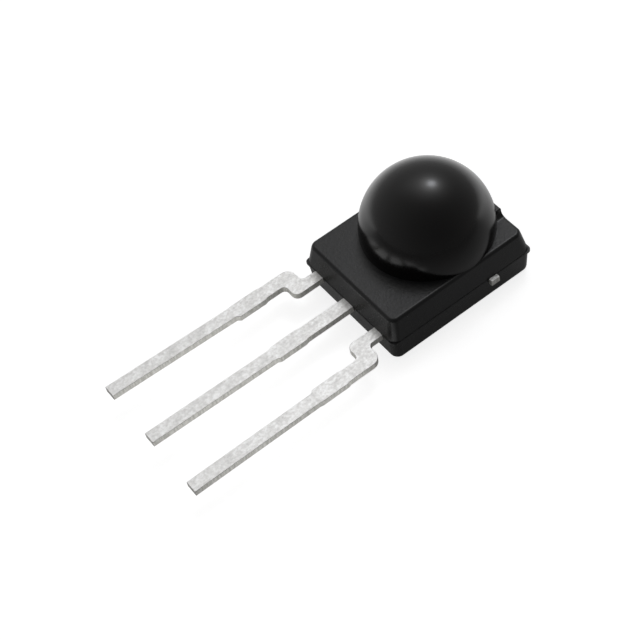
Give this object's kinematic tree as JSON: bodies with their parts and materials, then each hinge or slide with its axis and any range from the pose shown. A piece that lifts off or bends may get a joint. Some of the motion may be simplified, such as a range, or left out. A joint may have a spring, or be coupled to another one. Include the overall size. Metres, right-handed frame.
{
  "type": "infrared receiver module",
  "caption": "Black epoxy infrared remote-control receiver with a dome lens on a rectangular moulded body and flat tinned solder leads in line.",
  "frame": {"origin": "where the optical axis of the dome lens meets the flat back of the moulding", "axes": "+Z along the optical axis, out of the dome; the leads point along -Y; +X across the body, towards the supply lead"},
  "size_m": [0.0058, 0.0152, 0.0047],
  "materials": {
    "black_epoxy": "black infrared-passing epoxy, matt body with a polished dome",
    "tinned_lead_frame": "dull tin plating",
    "silicon": "polished silicon",
    "die_glue": "silver-filled glue",
    "gold_wire": "gold"
  },
  "bodies": {
    "root": {"moulding": "black_epoxy", "lead_output": "tinned_lead_frame", "lead_ground": "tinned_lead_frame", "lead_supply": "tinned_lead_frame", "photodiode_chip": "silicon", "receiver_chip": "silicon", "photodiode_glue": "die_glue", "receiver_glue": "die_glue", "wire_diode": "gold_wire", "wire_output": "gold_wire", "wire_supply": "gold_wire", "wire_ground": "gold_wire"}
  },
  "joints": []
}
